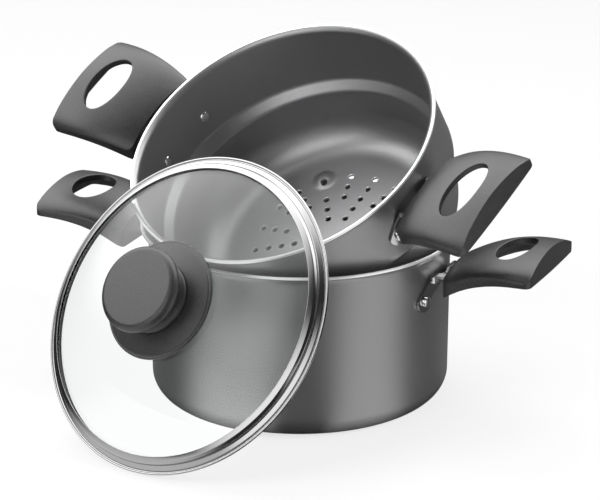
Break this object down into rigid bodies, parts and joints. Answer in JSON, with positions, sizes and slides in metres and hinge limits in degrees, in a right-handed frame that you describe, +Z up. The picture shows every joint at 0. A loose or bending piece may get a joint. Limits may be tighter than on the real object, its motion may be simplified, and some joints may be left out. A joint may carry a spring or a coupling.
{
  "type": "couscous steamer",
  "caption": "Two-handled cooking pot with a perforated steamer insert leaning in its mouth and a domed glass lid with a knob standing against them.",
  "frame": {"origin": "centre of the pot's base, on the surface that it stands on", "axes": "+Z up along the pot's axis, -Y towards the viewer of the picture, the pot's right handle 24 degrees from +X towards -Y"},
  "size_m": [0.3218, 0.2796, 0.2121],
  "materials": {
    "graphite_nonstick": "fine-grained graphite nonstick coating on pressed aluminium, bare along the rim's edge",
    "stainless_steel": "polished",
    "rivet_metal": "turned and polished",
    "black_phenolic": "moulded, fine grain",
    "tempered_glass": "clear",
    "grey_silicone": "matte"
  },
  "bodies": {
    "pot": {"pot_body": "graphite_nonstick", "pot_bracket_right": "stainless_steel", "pot_bracket_left": "stainless_steel", "pot_handle_right": "black_phenolic", "pot_handle_left": "black_phenolic", "pot_handle_screw_right": "stainless_steel", "pot_handle_screw_left": "stainless_steel", "pot_rivet_right_front": "rivet_metal", "pot_rivet_right_rear": "rivet_metal", "pot_rivet_left_front": "rivet_metal", "pot_rivet_left_rear": "rivet_metal"},
    "steamer": {"steamer_body": "graphite_nonstick", "steamer_bracket_right": "stainless_steel", "steamer_bracket_left": "stainless_steel", "steamer_handle_right": "black_phenolic", "steamer_handle_left": "black_phenolic", "steamer_handle_screw_right": "stainless_steel", "steamer_handle_screw_left": "stainless_steel", "steamer_rivet_right_front": "rivet_metal", "steamer_rivet_right_rear": "rivet_metal", "steamer_rivet_left_front": "rivet_metal", "steamer_rivet_left_rear": "rivet_metal"},
    "lid": {"lid_glass": "tempered_glass", "lid_rim": "stainless_steel", "knob_guard": "black_phenolic", "knob_grip": "black_phenolic", "knob_gasket": "grey_silicone", "knob_washer": "stainless_steel", "knob_screw": "stainless_steel"}
  },
  "joints": [
    {"name": "steamer_lift", "type": "slide", "parent": "pot", "child": "steamer", "axis": [0.4712, 0.5719, 0.6715], "range_m": [0, 0.24]},
    {"name": "lid_lift", "type": "slide", "parent": "pot", "child": "lid", "axis": [-0.526, -0.6395, 0.5606], "range_m": [0, 0.2]}
  ]
}
